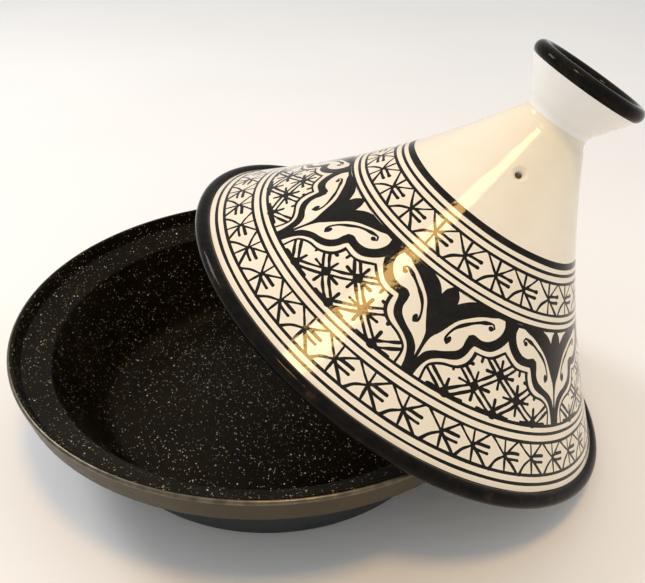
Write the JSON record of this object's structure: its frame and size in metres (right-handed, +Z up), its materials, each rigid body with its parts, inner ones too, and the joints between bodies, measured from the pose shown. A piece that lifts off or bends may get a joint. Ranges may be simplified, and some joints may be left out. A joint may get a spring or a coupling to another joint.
{
  "type": "tagine pot",
  "caption": "Wide shallow cooking dish with a tall hollow conical lid, flared knob and steam vent; the lid leans on the dish and lifts off.",
  "frame": {"origin": "centre of the dish's foot, on the surface it stands on", "axes": "+Z up; +X horizontally from the dish towards the low side of the leaning lid"},
  "size_m": [0.3717, 0.3192, 0.2431],
  "materials": {
    "dish_coating": "cast aluminium with a speckled black non-stick coating, satin",
    "base_steel": "turned magnetic steel",
    "lid_glaze": "gloss cream glaze with hand-painted black ornament",
    "knob_glaze": "gloss cream glaze with a black lip"
  },
  "bodies": {
    "dish": {"dish_pan": "dish_coating", "base_disc": "base_steel"},
    "lid": {"lid_cone": "lid_glaze", "lid_knob": "knob_glaze"}
  },
  "joints": [
    {"name": "lid_lift", "type": "slide", "parent": "dish", "child": "lid", "axis": [0, 0, 1], "range_m": [0, 0.15]}
  ]
}
